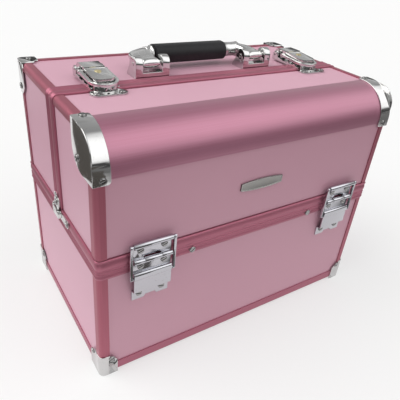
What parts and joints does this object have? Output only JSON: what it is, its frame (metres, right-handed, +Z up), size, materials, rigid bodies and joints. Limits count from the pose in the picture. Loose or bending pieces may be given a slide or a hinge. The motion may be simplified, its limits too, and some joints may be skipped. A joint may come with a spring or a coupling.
{
  "type": "makeup train case",
  "caption": "Makeup case in an aluminium edge frame whose split lid opens to front and rear, drawing out cantilever trays, with folding handle and top latches.",
  "frame": {"origin": "middle of the footprint, on the surface the case stands on", "axes": "+X along the long side to the viewer's right, +Y from the front lid to the rear lid, +Z up"},
  "size_m": [0.3696, 0.23, 0.2998],
  "materials": {
    "blush_panel": "fine matt skin over board",
    "rose_aluminium": "satin rose anodised",
    "chrome": "bright nickel plate",
    "badge_chrome": "bright border, brushed field",
    "steel_arm": "brushed",
    "key_brass": "worn brass",
    "grip_skin": "black grained skin",
    "tray_plastic": "black moulded",
    "lining": "short black pile",
    "black_board": "black board"
  },
  "bodies": {
    "base": {"base_front_panel": "blush_panel", "base_rear_panel": "blush_panel", "base_side_panels": "blush_panel", "base_bottom_panel": "black_board", "base_corner_posts": "rose_aluminium", "base_bottom_frame": "rose_aluminium", "base_rim": "rose_aluminium", "base_lining": "lining", "base_corner_feet": "chrome", "base_side_catches": "chrome", "base_screws": "chrome", "front_hinge_base_leaves": "chrome", "rear_hinge_base_leaves": "chrome", "arm_pivot_studs": "steel_arm"},
    "front_lid": {"front_lid_front_panel": "blush_panel", "front_lid_side_panels": "blush_panel", "front_lid_top_panel": "blush_panel", "front_lid_edge_frame": "rose_aluminium", "front_lid_round_profile": "rose_aluminium", "front_lid_corner_caps": "chrome", "front_lid_badge": "badge_chrome", "latch_strikes": "chrome", "front_lid_screws": "chrome", "front_hinge_lid_leaves": "chrome", "front_hinge_pins": "chrome", "front_tray_studs": "steel_arm"},
    "rear_lid": {"rear_lid_back_panel": "blush_panel", "rear_lid_side_panels": "blush_panel", "rear_lid_top_panel": "blush_panel", "rear_lid_edge_frame": "rose_aluminium", "rear_lid_rim": "rose_aluminium", "rear_lid_top_corners": "chrome", "rear_lid_side_tongues": "chrome", "rear_lid_screws": "chrome", "rear_hinge_lid_leaves": "chrome", "rear_hinge_pins": "chrome", "rear_tray_studs": "steel_arm", "latch_bases": "chrome", "latch_lever_pins": "chrome", "handle_brackets": "chrome", "handle_pins": "chrome"},
    "handle": {"handle_arms": "chrome", "handle_grip": "grip_skin"},
    "left_lever": {"left_latch_lever": "chrome"},
    "right_lever": {"right_latch_lever": "chrome"},
    "left_bail": {"left_latch_bail": "chrome"},
    "right_bail": {"right_latch_bail": "chrome"},
    "left_plug": {"left_key_plug": "key_brass"},
    "right_plug": {"right_key_plug": "key_brass"},
    "front_stays": {"front_hinge_stays": "chrome"},
    "rear_stays": {"rear_hinge_stays": "chrome"},
    "front_arms": {"front_tray_arms": "steel_arm"},
    "rear_arms": {"rear_tray_arms": "steel_arm"},
    "front_tray_lower": {"front_lower_tray": "tray_plastic"},
    "front_tray_upper": {"front_upper_tray": "tray_plastic"},
    "rear_tray_lower": {"rear_lower_tray": "tray_plastic"},
    "rear_tray_upper": {"rear_upper_tray": "tray_plastic"}
  },
  "joints": [
    {"name": "front_lid_hinge", "type": "hinge", "parent": "base", "child": "front_lid", "pos_m": [0, -0.112, 0.1455], "axis": [1, 0, 0], "range_deg": [0, 90]},
    {"name": "rear_lid_hinge", "type": "hinge", "parent": "base", "child": "rear_lid", "pos_m": [0, 0.112, 0.1455], "axis": [-1, 0, 0], "range_deg": [0, 90]},
    {"name": "handle_pivot", "type": "hinge", "parent": "rear_lid", "child": "handle", "pos_m": [0, 0.017, 0.2888], "axis": [1, 0, 0], "range_deg": [0, 95]},
    {"name": "left_lever_pivot", "type": "hinge", "parent": "rear_lid", "child": "left_lever", "pos_m": [-0.13, 0.03, 0.2846], "axis": [-1, 0, 0], "range_deg": [0, 100]},
    {"name": "right_lever_pivot", "type": "hinge", "parent": "rear_lid", "child": "right_lever", "pos_m": [0.13, 0.03, 0.2846], "axis": [-1, 0, 0], "range_deg": [0, 100]},
    {"name": "left_bail_pivot", "type": "hinge", "parent": "left_lever", "child": "left_bail", "pos_m": [-0.13, 0.018, 0.285], "axis": [-1, 0, 0], "range_deg": [0, 60]},
    {"name": "right_bail_pivot", "type": "hinge", "parent": "right_lever", "child": "right_bail", "pos_m": [0.13, 0.018, 0.285], "axis": [-1, 0, 0], "range_deg": [0, 60]},
    {"name": "left_key_turn", "type": "hinge", "parent": "left_lever", "child": "left_plug", "pos_m": [-0.13, 0.0045, 0.2846], "axis": [0, 0, 1], "range_deg": [0, 90]},
    {"name": "right_key_turn", "type": "hinge", "parent": "right_lever", "child": "right_plug", "pos_m": [0.13, 0.0045, 0.2846], "axis": [0, 0, 1], "range_deg": [0, 90]},
    {"name": "front_stay_pivot", "type": "hinge", "parent": "front_lid", "child": "front_stays", "pos_m": [0, -0.1122, 0.1638], "axis": [1, 0, 0], "range_deg": [-63, 0]},
    {"name": "rear_stay_pivot", "type": "hinge", "parent": "rear_lid", "child": "rear_stays", "pos_m": [0, 0.1122, 0.1638], "axis": [-1, 0, 0], "range_deg": [-63, 0]},
    {"name": "front_arm_pivot", "type": "hinge", "parent": "base", "child": "front_arms", "pos_m": [0, -0.078, 0.1455], "axis": [1, 0, 0], "range_deg": [0, 90]},
    {"name": "rear_arm_pivot", "type": "hinge", "parent": "base", "child": "rear_arms", "pos_m": [0, 0.078, 0.1455], "axis": [-1, 0, 0], "range_deg": [0, 90]},
    {"name": "front_lower_tray_pivot", "type": "hinge", "parent": "front_lid", "child": "front_tray_lower", "pos_m": [0, -0.088, 0.1695], "axis": [1, 0, 0], "range_deg": [-90, 0]},
    {"name": "front_upper_tray_pivot", "type": "hinge", "parent": "front_lid", "child": "front_tray_upper", "pos_m": [0, -0.052, 0.2055], "axis": [1, 0, 0], "range_deg": [-90, 0]},
    {"name": "rear_lower_tray_pivot", "type": "hinge", "parent": "rear_lid", "child": "rear_tray_lower", "pos_m": [0, 0.08, 0.1775], "axis": [-1, 0, 0], "range_deg": [-90, 0]},
    {"name": "rear_upper_tray_pivot", "type": "hinge", "parent": "rear_lid", "child": "rear_tray_upper", "pos_m": [0, 0.042, 0.2155], "axis": [-1, 0, 0], "range_deg": [-90, 0]}
  ],
  "couplings": [
    {"joint": "front_stay_pivot", "follows": "front_lid_hinge", "ratio": -0.7},
    {"joint": "rear_stay_pivot", "follows": "rear_lid_hinge", "ratio": -0.7},
    {"joint": "front_arm_pivot", "follows": "front_lid_hinge", "ratio": 1},
    {"joint": "rear_arm_pivot", "follows": "rear_lid_hinge", "ratio": 1},
    {"joint": "front_lower_tray_pivot", "follows": "front_lid_hinge", "ratio": -1},
    {"joint": "front_upper_tray_pivot", "follows": "front_lid_hinge", "ratio": -1},
    {"joint": "rear_lower_tray_pivot", "follows": "rear_lid_hinge", "ratio": -1},
    {"joint": "rear_upper_tray_pivot", "follows": "rear_lid_hinge", "ratio": -1}
  ]
}
